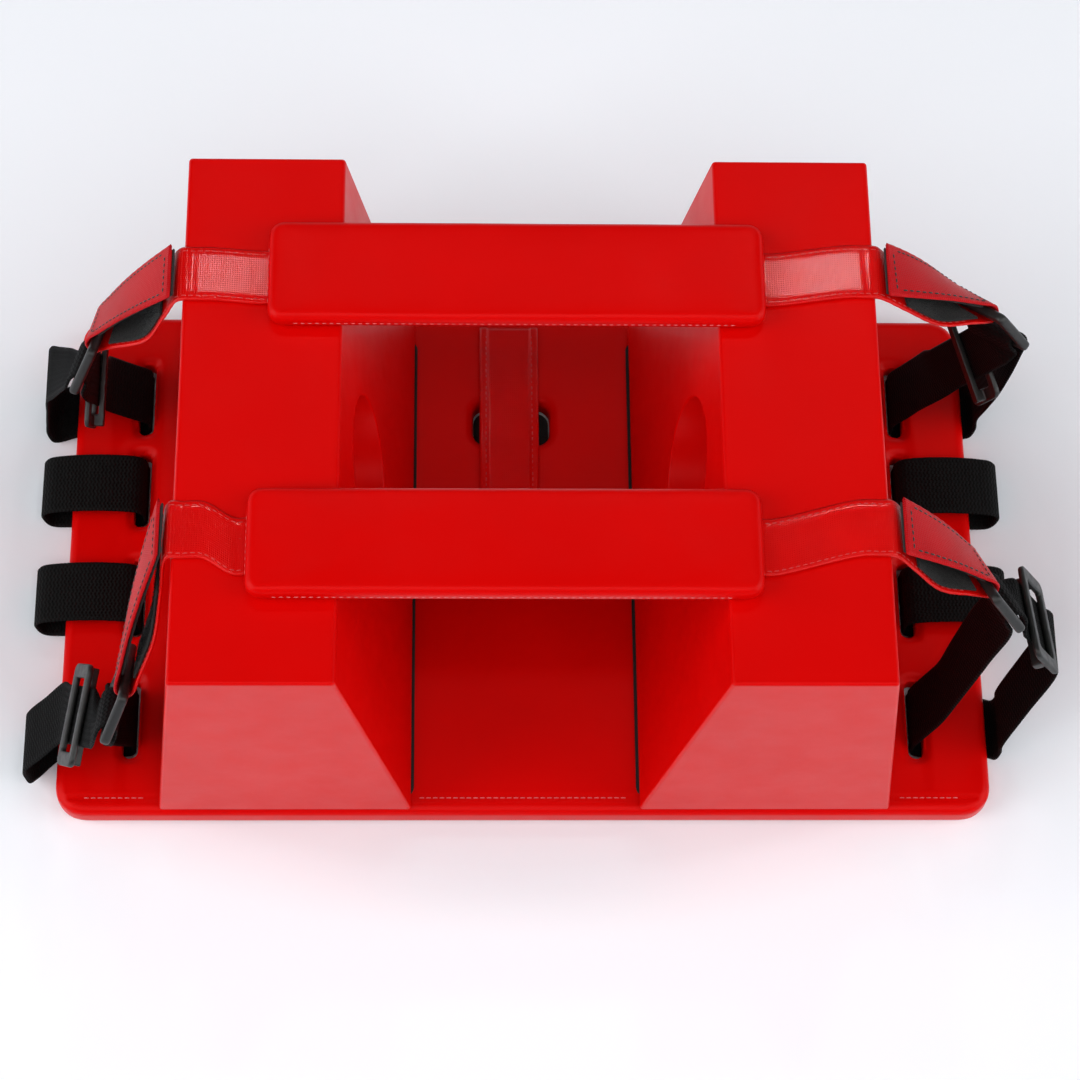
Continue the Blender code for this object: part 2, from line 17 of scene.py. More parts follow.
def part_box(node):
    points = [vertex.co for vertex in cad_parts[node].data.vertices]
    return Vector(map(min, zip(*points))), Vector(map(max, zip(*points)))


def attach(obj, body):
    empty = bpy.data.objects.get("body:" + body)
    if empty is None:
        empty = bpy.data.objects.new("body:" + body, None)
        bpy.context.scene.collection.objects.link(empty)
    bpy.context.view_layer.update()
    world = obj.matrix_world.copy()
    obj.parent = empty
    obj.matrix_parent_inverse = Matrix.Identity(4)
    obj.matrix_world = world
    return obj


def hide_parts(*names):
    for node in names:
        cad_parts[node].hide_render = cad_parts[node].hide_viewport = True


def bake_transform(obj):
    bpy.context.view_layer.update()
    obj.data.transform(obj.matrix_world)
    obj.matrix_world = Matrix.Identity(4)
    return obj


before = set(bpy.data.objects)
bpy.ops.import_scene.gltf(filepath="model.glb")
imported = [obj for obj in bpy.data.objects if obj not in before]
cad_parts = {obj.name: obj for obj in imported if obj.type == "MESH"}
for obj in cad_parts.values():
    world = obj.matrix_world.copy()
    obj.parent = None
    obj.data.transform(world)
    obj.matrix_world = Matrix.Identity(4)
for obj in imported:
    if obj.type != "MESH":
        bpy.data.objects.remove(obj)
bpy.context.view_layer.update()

# ---- sizes shared with the CAD model ----
GAP = 0.0003
BASE_WIDTH = 0.405
BASE_DEPTH = 0.242
BASE_THICK = 0.013
BLOCK_TOP_Z = 0.163
BLOCK_DEPTH = 0.235
BLOCK_CENTRE_Y = -0.003
BLOCK_INNER_FOOT = 0.049  # distance from the centre line, at the foot and at the top
BLOCK_OUTER_FOOT = 0.157
BLOCK_INNER_TOP = 0.0765
BLOCK_OUTER_TOP = 0.1412
BLOCK_FOOT_Z = BASE_THICK + 0.0025
BLOCK_EDGE = 0.0015
EAR_HOLE_RADIUS = 0.031
EAR_HOLE_Y = -0.003
EAR_HOLE_Z = 0.108
SLOT_X = 0.1712
SLOT_WIDTH = 0.0066
SLOT_LENGTH = 0.036
SLOT_CENTRES_Y = (-0.077, -0.020, 0.033, 0.079)  # near to far
STRIP_X = -0.006  # flat strap down the middle of the base, over the centre hole
STRIP_WIDTH = 0.027
STRIP_NEAR_Y = 0.004
STRIP_FAR_Y = 0.114
STRIP_THICK = 0.002
STRIP_HEM_WIDTH = 0.004
STRIP_HEM_THICK = 0.0032
HOLE_X = STRIP_X + 0.001
HOLE_LENGTH = 0.035
HOLE_WIDTH = 0.021
HOLE_Y = 0.067
WEB_WIDTH = 0.028  # black webbing
WEB_THICK = 0.0014
WEB_IN_SLOT = SLOT_X - 0.0012  # webbing lies towards the block side of its slot
LOOP_REACH = 0.2145  # from the centre line to the outer side of a loop
STRAP_WIDTH = 0.025  # red coated strap
STRAP_THICK = 0.0014
PAD_LENGTH = 0.202
POCKET = 0.012  # how far a strap end runs inside the end of its pad
PATCH_WIDTH = STRAP_WIDTH - 0.003
TAB_PATCH_THICK = 0.0010  # hook-and-loop patches on the strap and its tab
PATCH_STANDOFF = (STRAP_THICK + TAB_PATCH_THICK) / 2 + GAP + 0.0001
WRAP = 0.0037  # ring bar centre to the middle of a band wrapped round it
RING_SPAN = 0.022  # bar centre to bar centre
RING_LEAD = 0.004  # webbing leaves the ring square to its bar for this far
ADJUSTER_HOLD = 0.0125  # half the length of webbing that lies straight inside it
HOLD_LEAD = 0.003  # it is already straight this far above and below that
LEVEL = Vector((0.0, 1.0, 0.0))
FOREHEAD_PAD = (-0.0055, 0.0570)  # x and y of the middle of each pad
CHIN_PAD = (-0.0110, -0.0630)

# ---- surface detail ----
PATH_STEPS = 12  # steps from one station of a route to the next
PATCH_PATH_STEPS = 4
RIB_PITCH = 0.0017  # crosswise ribs of the webbing
RIB_HEIGHT = 0.00011
SELVEDGE = 0.0022
SELVEDGE_RIB = 0.45  # share of the rib height kept on the selvedges
WEB_HOLLOW = 0.00006  # the webbing is this much thinner between them
YARN_PITCH = 0.00075  # threads along the webbing
YARN_COLUMN = 0.0015  # ribs step half a pitch from column to column
WEAVE_PITCH = 0.0019  # diagonal weave under the strap's coating
STRAP_HEM = 0.0022  # rolled edge of a strap, and the sewn channel inside it
HEM_WAVE = 0.00006
HEM_WAVE_PITCH = 0.0046
CHANNEL_DEPTH = 0.00018
CHANNEL_HALF = 0.0008
PILE_HEIGHT = 0.00016
PILE_GRAIN = 900
FIBRE_COUNT = 900  # loose fibres on each loop patch
FIBRE_LENGTH = 0.0009
FIBRE_RADIUS = 0.00007
FIBRE_SEED = 11
STRIP_FOLD = 0.0006  # width of the step down from the strip's hems
STRIP_WAVE = 0.00012
STRIP_WAVE_PITCH = 0.011
STITCH_PITCH = 0.0029
STITCH_LENGTH = 0.0021
THREAD_RADIUS = 0.00022
SEAM_INSET = 0.0070  # weld line of the base, in from its near edge
TAB_THREAD_RADIUS = 0.00040  # the black thread of the tabs is heavier
TAB_STITCH_LENGTH = 0.0027
STITCH_SIDES = 6
BASE_VOXEL = 0.0013
BASE_EASED = 0.005  # foam stays flat farther than this from the base's rim
SLOT_EASED = 0.0045  # and from its slots and its hole
SLOT_DIP = 0.0008  # it sinks this much beside a slot
SLOT_DIP_REACH = 0.0030
SEAM_DIP = 0.0005
SEAM_DIP_REACH = 0.0009
PAD_VOXEL = 0.0011
PAD_EASED = 0.0042
PAD_CROWN = 0.0005
PAD_DROOP = 0.0002  # at the rim
PAD_WAVE = 0.00025
MOULDING_VOXEL = 0.00042
BLOCK_RIM = 0.0009  # rounding of an ear hole's rim

# ---- colours (linear) ----
RED = (0.68, 0.0006, 0.0003)
STRAP_RED = (0.67, 0.0010, 0.0006)
TAB_RED = (0.54, 0.006, 0.010)
BLACK = (0.0024, 0.0024, 0.0023)
PILE_BLACK = (0.005, 0.006, 0.0055)
PLASTIC = (0.010, 0.0105, 0.010)
RED_THREAD = (0.60, 0.030, 0.030)
# stitches of the base and pads: the thread is real, its pale colour a painted glint
PAINTED_GLINT_THREAD = (0.75, 0.16, 0.17)
BLACK_THREAD = (0.006, 0.006, 0.006)
RED_GLOSS = (1.0, 0.25, 0.25, 1.0)  # tint of reflections seen square on; grazing ones stay white
HORIZON = (0.76, 0.76, 0.85)
ZENITH = (0.012, 0.012, 0.012)
FLOOR = (0.88, 0.91, 0.96)
FLOOR_GLOW = 0.13
NOISE_LOW = 0.3  # noise textures mostly stay between these two
NOISE_HIGH = 0.7


# ---- materials ----
def new_material(name, roughness, **sockets):
    """A Principled material; keywords set other sockets, with _ for a space in their names."""
    shade = bpy.data.materials.new(name)
    shade.use_nodes = True
    shader = shade.node_tree.nodes["Principled BSDF"]
    shader.inputs["Roughness"].default_value = roughness
    for socket, value in sockets.items():
        shader.inputs[socket.replace("_", " ")].default_value = value
    return shade, shade.node_tree, shader


def node(tree, kind, inputs=None, **settings):
    """A new node with its settings and the default values of some of its inputs."""
    item = tree.nodes.new(kind)
    for key, value in settings.items():
        setattr(item, key, value)
    for socket, value in (inputs or {}).items():
        item.inputs[socket].default_value = value
    return item


def link(source, target):
    """Join two sockets of one node tree."""
    source.id_data.links.new(source, target)


def calc(operation, *values):
    """A math node; the first value is a socket, the others sockets or numbers."""
    item = node(values[0].id_data, "ShaderNodeMath", operation=operation)
    for socket, value in zip(item.inputs, values):
        if isinstance(value, (int, float)):
            socket.default_value = value
        else:
            link(value, socket)
    return item.outputs[0]


def noise_height(tree, scale, detail=3.0, roughness=0.5):
    coordinates = node(tree, "ShaderNodeTexCoord")
    texture = node(tree, "ShaderNodeTexNoise", {"Scale": scale, "Detail": detail, "Roughness": roughness})
    link(coordinates.outputs["Object"], texture.inputs["Vector"])
    return texture.outputs["Fac"]


def colour_ramp(fac, stops):
    """Colour that runs between two stops; each stop is (position, colour)."""
    ramp = node(fac.id_data, "ShaderNodeValToRGB")
    for element, (position, colour) in zip(ramp.color_ramp.elements, stops):
        element.position = position
        element.color = (*colour, 1.0)
    link(fac, ramp.inputs["Fac"])
    return ramp.outputs["Color"]


def map_range(value, start, end):
    """Number that runs between two ends; start and end are (input, output)."""
    spread = node(value.id_data, "ShaderNodeMapRange", {"From Min": start[0], "From Max": end[0],
                                                        "To Min": start[1], "To Max": end[1]})
    link(value, spread.inputs["Value"])
    return spread.outputs["Result"]


def vary_colour(shader, colour, amount, fac):
    """Base colour that drifts a little lighter and darker with the factor."""
    dark = tuple(part * (1 - amount) for part in colour)
    light = tuple(part * (1 + amount) for part in colour)
    shades = colour_ramp(fac, ((NOISE_LOW, dark), (NOISE_HIGH, light)))
    link(shades, shader.inputs["Base Color"])


def vary_roughness(shader, low, high, fac):
    drift = map_range(fac, (NOISE_LOW, low), (NOISE_HIGH, high))
    link(drift, shader.inputs["Roughness"])


def add_bump(shader, height, strength, distance):
    """Bump from a height socket, on top of any bump that the shader has already."""
    bump = node(shader.id_data, "ShaderNodeBump", {"Strength": strength, "Distance": distance})
    link(height, bump.inputs["Height"])
    previous = shader.inputs["Normal"].links
    if previous:
        link(previous[0].from_socket, bump.inputs["Normal"])
    link(bump.outputs["Normal"], shader.inputs["Normal"])


def band_coordinates(tree):
    """Distance along and across a band, in metres, from its UV map."""
    coordinates = node(tree, "ShaderNodeUVMap", uv_map="band")
    split = node(tree, "ShaderNodeSeparateXYZ")
    link(coordinates.outputs["UV"], split.inputs[0])
    return split.outputs["X"], split.outputs["Y"]


def ripple(value, pitch):
    return calc("SINE", calc("MULTIPLY", value, 2 * pi / pitch))


def vinyl_material():
    """Smooth coated foam skin: deep red, softly glossy, with a very fine grain."""
    shade, tree, shader = new_material("red_vinyl", 0.36, Specular_IOR_Level=0.27,
                                       Specular_Tint=RED_GLOSS)
    vary_colour(shader, RED, 0.035, noise_height(tree, 14.0, 4.0))
    vary_roughness(shader, 0.32, 0.40, noise_height(tree, 60.0, 4.0))
    add_bump(shader, noise_height(tree, 2200.0, 2.0), 0.10, 0.0002)
    add_bump(shader, noise_height(tree, 45.0, 2.0), 0.16, 0.0012)
    return shade


def coated_strap_material(name, colour, weave, roughness, coat):
    """Woven strap under a red coating: its level crowns glint between the dips of the weave."""
    shade, tree, shader = new_material(name, roughness, Specular_IOR_Level=0.25, Specular_Tint=RED_GLOSS,
                                       Coat_Weight=coat, Coat_Roughness=0.12)
    along, across = band_coordinates(tree)
    vary_colour(shader, colour, 0.06, noise_height(tree, 60.0, 4.0))
    warp = ripple(calc("ADD", along, across), WEAVE_PITCH)
    weft = ripple(calc("SUBTRACT", along, across), WEAVE_PITCH)
    grid = calc("MINIMUM", calc("MULTIPLY", warp, weft), 0.0)
    add_bump(shader, grid, weave, 0.00028)
    add_bump(shader, noise_height(tree, 160.0, 2.0), 0.10, 0.0005)
    link(shader.inputs["Normal"].links[0].from_socket, shader.inputs["Coat Normal"])
    return shade


def webbing_material():
    """Ribbed black webbing: threads along it ride over the crosswise ribs."""
    shade, tree, shader = new_material("black_webbing", 0.74, Specular_IOR_Level=0.14)
    along, across = band_coordinates(tree)
    vary_colour(shader, BLACK, 0.25, noise_height(tree, 260.0))
    threads = ripple(across, YARN_PITCH)
    column = calc("ROUND", calc("DIVIDE", across, YARN_COLUMN))
    step = calc("MULTIPLY", column, RIB_PITCH / 2)
    ribs = ripple(calc("ADD", along, step), RIB_PITCH)
    add_bump(shader, threads, 0.45, 0.00012)
    add_bump(shader, ribs, 0.55, 0.00022)
    return shade


def pile_material(name, roughness, scale):
    """Hook tape or loop pile: a dull black stubble."""
    shade, tree, shader = new_material(name, roughness, Sheen_Weight=0.08, Sheen_Roughness=0.6)
    vary_colour(shader, PILE_BLACK, 0.45, noise_height(tree, scale, 2.0))
    add_bump(shader, noise_height(tree, scale * 1.5, 3.0, 0.7), 0.9, 0.0006)
    return shade


def plastic_material():
    """Moulded acetal: dark grey, satin, with a faint spark-eroded texture."""
    shade, tree, shader = new_material("dark_plastic", 0.42)
    vary_colour(shader, PLASTIC, 0.10, noise_height(tree, 180.0))
    vary_roughness(shader, 0.36, 0.52, noise_height(tree, 320.0, 4.0))
    add_bump(shader, noise_height(tree, 5200.0, 2.0), 0.22, 0.00008)
    return shade


def thread_material(name, colour):
    shade, tree, shader = new_material(name, 0.45, Sheen_Weight=0.2)
    vary_colour(shader, colour, 0.2, noise_height(tree, 1500.0, 2.0))
    add_bump(shader, noise_height(tree, 5000.0, 2.0), 0.4, 0.0001)
    return shade


# ---- placing pieces ----
def new_object(name, data):
    item = bpy.data.objects.new(name, data)
    bpy.context.scene.collection.objects.link(item)
    return item


def shade_smooth(mesh):
    mesh.polygons.foreach_set("use_smooth", [True] * len(mesh.polygons))


def make_object(name, verts, faces, shade):
    mesh = bpy.data.meshes.new(name)
    mesh.from_pydata(verts, [], faces)
    mesh.materials.append(shade)
    shade_smooth(mesh)
    mesh.update()
    return new_object(name, mesh)


def place(item, body, slot, *replaced):
    """Put a piece on its body, in place of the CAD nodes it stands for; its slot is not used."""
    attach(item, body)
    finish_piece(item, slot, *replaced)


def finish_piece(item, slot, *replaced):
    if replaced:
        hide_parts(*replaced)


# ---- routes: the same ones as the CAD model's bands ----
class Corner:
    """Where one corner's ring hangs, and the directions its pieces share.

    Points are as on the right-hand side: bar is the ring's upper bar, belly and knee the bends of
    the webbing's inner and outer legs, and foot_y where it turns under the base. hang is the way
    the ring hangs, turn its bar's yaw and tilt, slump the strap's sag. The adjuster is on the named
    leg, drop down from the ring, where untwist is the share of the webbing's twist undone.
    """

    def __init__(self, name, side, slot_y, strap_y, bar, hang, turn, slump, belly, knee,
                 foot_y, leg, drop, untwist, reach=LOOP_REACH):
        self.name = name
        self.side = side
        self.slot_y = slot_y
        self.strap_y = strap_y
        self.slump = slump
        self.foot_y = foot_y
        self.leg = leg
        self.drop = drop
        self.reach = reach
        self.untwist = untwist
        self.bar = self.spot(bar)
        self.belly = self.spot(belly)
        self.knee = self.spot(knee)
        yaw, tilt = (radians(angle) for angle in turn)
        self.across = Vector((-side * sin(yaw) * cos(tilt), cos(yaw) * cos(tilt), -sin(tilt)))
        edge = self.spot((BLOCK_OUTER_TOP + 0.002, strap_y, BLOCK_TOP_Z + 0.003))
        self.tab_end = self.spot((BLOCK_OUTER_TOP + 0.0055, strap_y, BLOCK_TOP_Z + 0.0035))
        self.inward = self.square_to_bar(edge - self.bar)
        self.above = self.facing_out(self.inward.cross(self.across))
        self.down = self.square_to_bar(self.spot(hang))
        self.outward = self.facing_out(self.down.cross(self.across))
        self.lower = self.bar + self.down * RING_SPAN

    def spot(self, point):
        return Vector((self.side * point[0], point[1], point[2]))

    def facing_out(self, direction):
        return direction if direction.x * self.side > 0 else -direction

    def square_to_bar(self, direction):
        return (direction - self.across * direction.dot(self.across)).normalized()


CORNERS = (
    Corner("left_forehead", -1, SLOT_CENTRES_Y[3], 0.0585, bar=(0.180, 0.059, 0.116),
           hang=(0.40, -0.35, -0.85), turn=(8, 26), slump=0.007, belly=(0.186, 0.076, 0.032),
           knee=(0.209, 0.066, 0.060), foot_y=0.074, leg="inner", drop=0.029, untwist=0.6),
    Corner("right_forehead", 1, SLOT_CENTRES_Y[3], 0.0610, bar=(0.186, 0.061, 0.137),
           hang=(0.55, -0.10, -0.83), turn=(40, 30), slump=0.005, belly=(0.180, 0.076, 0.038),
           knee=(0.207, 0.064, 0.075), foot_y=0.078, leg="inner", drop=0.029, untwist=0.35,
           reach=0.2070),
    Corner("left_chin", -1, SLOT_CENTRES_Y[0], -0.0560, bar=(0.1615, -0.097, 0.116),
           hang=(0.35, -0.30, -0.85), turn=(0, 34), slump=0.003, belly=(0.178, -0.088, 0.046),
           knee=(0.197, -0.086, 0.042), foot_y=-0.091, leg="outer", drop=0.030, untwist=0.8),
    Corner("right_chin", 1, SLOT_CENTRES_Y[0], -0.0545, bar=(0.1800, -0.061, 0.136),
           hang=(0.60, -0.45, -0.65), turn=(18, 26), slump=0.005, belly=(0.1780, -0.0765, 0.042),
           knee=(0.2220, -0.067, 0.074), foot_y=-0.080, leg="outer", drop=0.0235, untwist=0.75,
           reach=0.2070),
)


def blend_four(points, knots, t):
    """Hermite step from the second point to the third, with tangents from their neighbours."""
    first, start, end, last = points
    before, here, after = knots
    slope = (end - start) / here
    leave = slope * here
    arrive = slope * here
    if before > 0:
        leave = here * ((start - first) / before - (end - first) / (before + here) + slope)
    if after > 0:
        arrive = here * (slope - (last - start) / (here + after) + (last - end) / after)
    return (start * (2 * t ** 3 - 3 * t * t + 1) + leave * (t ** 3 - 2 * t * t + t)
            + end * (3 * t * t - 2 * t ** 3) + arrive * (t ** 3 - t * t))


def smooth_path(stations, closed, steps):
    """Centripetal Catmull-Rom curve through the stations; each is (centre, width direction)."""
    count = len(stations)
    spans = count if closed else count - 1
    path = []
    for span in range(spans):
        if closed:
            picks = [stations[(span + shift) % count] for shift in (-1, 0, 1, 2)]
        else:
            picks = [stations[min(max(span + shift, 0), count - 1)] for shift in (-1, 0, 1, 2)]
        knots = [(picks[i + 1][0] - picks[i][0]).length ** 0.5 for i in range(3)]
        for step in range(steps):
            t = step / steps
            centre = blend_four([pick[0] for pick in picks], knots, t)
            across = blend_four([pick[1] for pick in picks], knots, t).normalized()
            path.append((centre, across))
    if not closed:
        path.append(stations[-1])
    return path


def shifted(path, distance, toward):
    """The same path moved off the band's face, to the side that toward points to."""
    moved = []
    for index, (centre, across) in enumerate(path):
        before = path[max(index - 1, 0)][0]
        after = path[min(index + 1, len(path) - 1)][0]
        face = (after - before).cross(across).normalized()
        if face.dot(toward) < 0:
            face = -face
        moved.append((centre + face * distance, across))
    return moved


def strap_stations(corner, pad_end, pad_y):
    """From inside the pad, over the block's top edge and down to the strap's fold at the ring."""
    side, bar = corner.side, corner.bar
    flat_z = BLOCK_TOP_Z + GAP + STRAP_THICK / 2
    edge = BLOCK_OUTER_TOP
    stations = [(Vector((side * u, y, flat_z)), LEVEL)
                for u, y in ((pad_end - POCKET, pad_y), (pad_end, pad_y), (pad_end + 0.005, pad_y),
                             (edge - 0.012, corner.strap_y), (edge - 0.004, corner.strap_y))]
    turn = Vector((side * (edge + 0.0018), corner.strap_y, flat_z - 0.0006))
    stations.append((turn, LEVEL))
    leave = bar - corner.above * WRAP
    for share, sag in ((0.25, 0.4), (0.6, 1.0), (0.88, 0.3)):
        point = turn.lerp(leave, share) - corner.above * corner.slump * sag
        stations.append((point, LEVEL.lerp(corner.across, share).normalized()))
    return stations + wrap_stations(corner, (0, 45, 90))


def wrap_stations(corner, angles):
    """The strap's turn round the ring bar: 0 degrees below it, 180 above it."""
    stations = []
    for angle in angles:
        swing = radians(angle)
        point = corner.bar - corner.above * WRAP * cos(swing) - corner.inward * WRAP * sin(swing)
        stations.append((point, corner.across))
    return stations


def tab_stations(corner):
    """From the fold at the ring back up over the strap."""
    root = corner.bar + corner.above * WRAP + corner.inward * GAP
    stations = []
    for share, rise in ((0.0, 0.0), (0.12, 0.0004), (0.4, 0.0012), (0.7, 0.0010), (1.0, 0.0)):
        point = root.lerp(corner.tab_end, share) + corner.above * rise
        stations.append((point, corner.across.lerp(LEVEL, share).normalized()))
    return stations


def leg_stations(corner, leg):
    """One leg of a corner's webbing, from the ring down to its bend, straight at an adjuster."""
    clear = corner.lower + corner.down * RING_LEAD
    top = clear + corner.outward * WRAP * (1 if leg == "outer" else -1)
    bend = corner.knee if leg == "outer" else corner.belly
    if leg != corner.leg:
        return [(top.lerp(bend, share), corner.across.lerp(LEVEL, share).normalized())
                for share in (0.0, 0.3, 0.7, 1.0)]
    length = (bend - top).length
    held = corner.across.lerp(LEVEL, corner.untwist).normalized()
    lean = abs(held.dot(bend - top)) / length
    hold = ADJUSTER_HOLD + lean * WEB_WIDTH / 2
    before, after = corner.drop - hold, corner.drop + hold
    marks = [(0.0, corner.across), (before - HOLD_LEAD, held), (before, held), (corner.drop, held),
             (after, held), (after + HOLD_LEAD, held), (length, LEVEL)]
    return [(top.lerp(bend, distance / length), across) for distance, across in marks]


def under_base(side, slot_y, foot_y, reach):
    """Round the base's edge and under it, back up into the slot."""
    low = 0.0004 + WEB_THICK / 2
    points = [(reach + 0.0008, 0.0115), (reach - 0.0004, 0.0045), (reach - 0.0030, 0.0015),
              (0.2000, low), (0.1900, low), (0.1790, low), (0.1728, low + 0.0005), (WEB_IN_SLOT, 0.0042)]
    stations = []
    for u, z in points:
        share = min(1.0, max(0.0, (u - 0.203) / (reach - 0.203)))
        stations.append((Vector((side * u, slot_y + (foot_y - slot_y) * share, z)), LEVEL))
    return stations


def corner_webbing_stations(corner):
    """Up from the slot to the ring, round its lower bar, down past the base's edge and under it."""
    side = corner.side
    slot = [(Vector((side * WEB_IN_SLOT, corner.slot_y, z)), LEVEL) for z in (0.0085, 0.0125)]
    inner = leg_stations(corner, "inner")[::-1]
    inner.insert(0, (slot[-1][0].lerp(corner.belly, 0.5), LEVEL))
    wrap = []
    for angle in (0, 45, 90, 135, 180):
        swing = radians(angle)
        point = corner.lower - corner.outward * WRAP * cos(swing) - corner.down * WRAP * sin(swing)
        wrap.append((point, corner.across))
    foot = Vector((side * corner.reach, corner.foot_y, 0.020))
    outer = leg_stations(corner, "outer") + [(corner.knee.lerp(foot, 0.5), LEVEL), (foot, LEVEL)]
    return slot + inner + wrap + outer + under_base(side, corner.slot_y, corner.foot_y, corner.reach)


def plain_webbing_stations(side, y):
    points = [(WEB_IN_SLOT, 0.0085), (WEB_IN_SLOT + 0.0004, 0.0135), (0.1735, 0.0168), (0.183, 0.0186),
              (0.195, 0.0188), (0.206, 0.0174), (LOOP_REACH - 0.0018, 0.0152)]
    top = [(Vector((side * u, y, z)), LEVEL) for u, z in points]
    return top + under_base(side, y, y, LOOP_REACH)


# ---- bands ----
# A cross row of a band: distance along it, middle point, and width, travel and face directions.
Row = namedtuple("Row", "u centre across travel face")


class Band:
    """A route cut into evenly spaced rows, whose face is on the side that toward points to."""

    def __init__(self, stations, spacing, closed=False, toward=None):
        self.closed = closed
        path = smooth_path(stations, closed, PATH_STEPS)
        if closed:
            path = path + [path[0]]
        marks = [0.0]
        for index in range(1, len(path)):
            marks.append(marks[-1] + (path[index][0] - path[index - 1][0]).length)
        self.length = marks[-1]
        cuts = self.even_cuts(path, marks, max(2, round(self.length / spacing)))
        self.rows = [self.row_at(cuts, index) for index in range(len(cuts))]
        if toward and self.rows[len(self.rows) // 2].face.dot(toward) < 0:
            self.flip()

    def even_cuts(self, path, marks, count):
        """Evenly spaced places along the path: (distance, centre, width direction)."""
        cuts = []
        index = 0
        for step in range(count if self.closed else count + 1):
            u = self.length * step / count
            while index < len(marks) - 2 and marks[index + 1] < u:
                index += 1
            share = (u - marks[index]) / max(1e-9, marks[index + 1] - marks[index])
            centre = path[index][0].lerp(path[index + 1][0], share)
            across = path[index][1].lerp(path[index + 1][1], share).normalized()
            cuts.append((u, centre, across))
        return cuts

    def row_at(self, cuts, index):
        if self.closed:
            before, after = cuts[index - 1], cuts[(index + 1) % len(cuts)]
        else:
            before, after = cuts[max(index - 1, 0)], cuts[min(index + 1, len(cuts) - 1)]
        u, centre, across = cuts[index]
        travel = (after[1] - before[1]).normalized()
        return Row(u, centre, across, travel, travel.cross(across).normalized())

    def flip(self):
        self.rows = [row._replace(face=-row.face) for row in self.rows]

    def at(self, u, v, height=0.0):
        """Point at u along, v across and height off the face; travel, width and face directions."""
        spacing = self.length / (len(self.rows) if self.closed else len(self.rows) - 1)
        place_in_rows = min(max(u / spacing, 0.0), len(self.rows) - 1.001)
        low = int(place_in_rows)
        share = place_in_rows - low
        first, second = self.rows[low], self.rows[(low + 1) % len(self.rows)]
        centre = first.centre.lerp(second.centre, share)
        across = first.across.lerp(second.across, share).normalized()
        face = first.face.lerp(second.face, share).normalized()
        return centre + across * v + face * height, first.travel, across, face


def join_rings(faces, low, high, sides):
    """Walls between two rings of vertices that begin at low and high."""
    for corner in range(sides):
        after = (corner + 1) % sides
        faces.append((low + corner, low + after, high + after, high + corner))


def add_tube_faces(faces, start, rings, sides):
    """Walls between successive rings of vertices, the first of which begins at start."""
    for low in range(start, start + (rings - 1) * sides, sides):
        join_rings(faces, low, low + sides, sides)


def band_section(columns):
    """Once round a band's cross section: share of the half width, and which face it is on."""
    shares = [-1.0 + 2.0 * column / columns for column in range(columns + 1)]
    return [(share, 1) for share in shares] + [(share, -1) for share in shares[-2:0:-1]]


def band_piece(name, band, tape, shade):
    """Closed solid band of one kind of tape, with rounded edges."""
    section = band_section(tape.columns)
    width, thick = tape.width, tape.thick
    verts, marks = [], []
    for row in band.rows:
        for share, side in section:
            v = share * width / 2
            past = max(0.0, (abs(v) - (width - thick) / 2) / (thick / 2))
            height = thick / 2 * max(0.0, 1.0 - past * past) ** 0.5
            if height > 0:
                height += tape.relief(row.u, v, side)
            verts.append(row.centre + row.across * v + row.face * (side * height))
            marks.append((row.u, v))
    ring, count = len(section), len(band.rows)
    last = (count - 1) * ring
    faces = []
    add_tube_faces(faces, 0, count, ring)
    if band.closed:
        join_rings(faces, last, 0, ring)
    else:
        faces.append(tuple(range(ring))[::-1])
        faces.append(tuple(range(last, last + ring)))
    item = make_object(name, verts, faces, shade)
    write_band_map(item.data, marks, band, ring)
    return item


def write_band_map(mesh, marks, band, ring):
    """UV map in metres along and across the band, carried on past the seam of a closed one."""
    layer = mesh.uv_layers.new(name="band")
    values = []
    last_row = (len(band.rows) - 1) * ring
    for face in mesh.polygons:
        wraps = band.closed and max(face.vertices) >= last_row and min(face.vertices) < ring
        for vertex in face.vertices:
            u, v = marks[vertex]
            if wraps and vertex < ring:
                u += band.length
            values.extend((u, v))
    layer.data.foreach_set("uv", values)


def webbing_relief(u, v, side):
    """Crosswise ribs, and a slightly thicker selvedge down each edge."""
    rib = RIB_HEIGHT * cos(2 * pi * u / RIB_PITCH)
    if abs(v) > WEB_WIDTH / 2 - SELVEDGE:
        return rib * SELVEDGE_RIB
    return rib - WEB_HOLLOW


def strap_relief(u, v, side):
    """A rolled hem down each edge and a stitched channel just inside it."""
    inside = STRAP_WIDTH / 2 - abs(v)
    channel = CHANNEL_DEPTH * max(0.0, 1.0 - abs(inside - STRAP_HEM) / CHANNEL_HALF)
    wave = HEM_WAVE * cos(2 * pi * u / HEM_WAVE_PITCH) if inside < STRAP_HEM else 0.0
    return wave - channel


def pile_relief(u, v, side):
    """Uneven stubble, different on the two faces."""
    return PILE_HEIGHT * noise.noise(Vector((u * PILE_GRAIN, v * PILE_GRAIN, side * 7.0)))


def strip_relief(u, v, side):
    """The folded hems of the flat centre strip."""
    if side < 0:
        return 0.0
    inside = STRIP_WIDTH / 2 - abs(v)
    share = min(1.0, max(0.0, (STRIP_HEM_WIDTH - inside) / STRIP_FOLD))
    wave = STRIP_WAVE * cos(2 * pi * u / STRIP_WAVE_PITCH)
    return (STRIP_HEM_THICK - STRIP_THICK) * share - wave * share


# A kind of band: row is the spacing of its mesh's rows along it, columns how many cross it, and
# relief(u, v, side) the height added to the face of side 1 or -1.
Tape = namedtuple("Tape", "width thick row columns relief")
STRAP = Tape(STRAP_WIDTH, STRAP_THICK, 0.0011, 26, strap_relief)
TAB = Tape(STRAP_WIDTH, STRAP_THICK, 0.0009, 26, strap_relief)
PILE = Tape(PATCH_WIDTH, TAB_PATCH_THICK, 0.0006, 34, pile_relief)
WEBBING = Tape(WEB_WIDTH, WEB_THICK, RIB_PITCH / 4, 28, webbing_relief)
STRIP = Tape(STRIP_WIDTH, STRIP_THICK, 0.0012, 44, strip_relief)


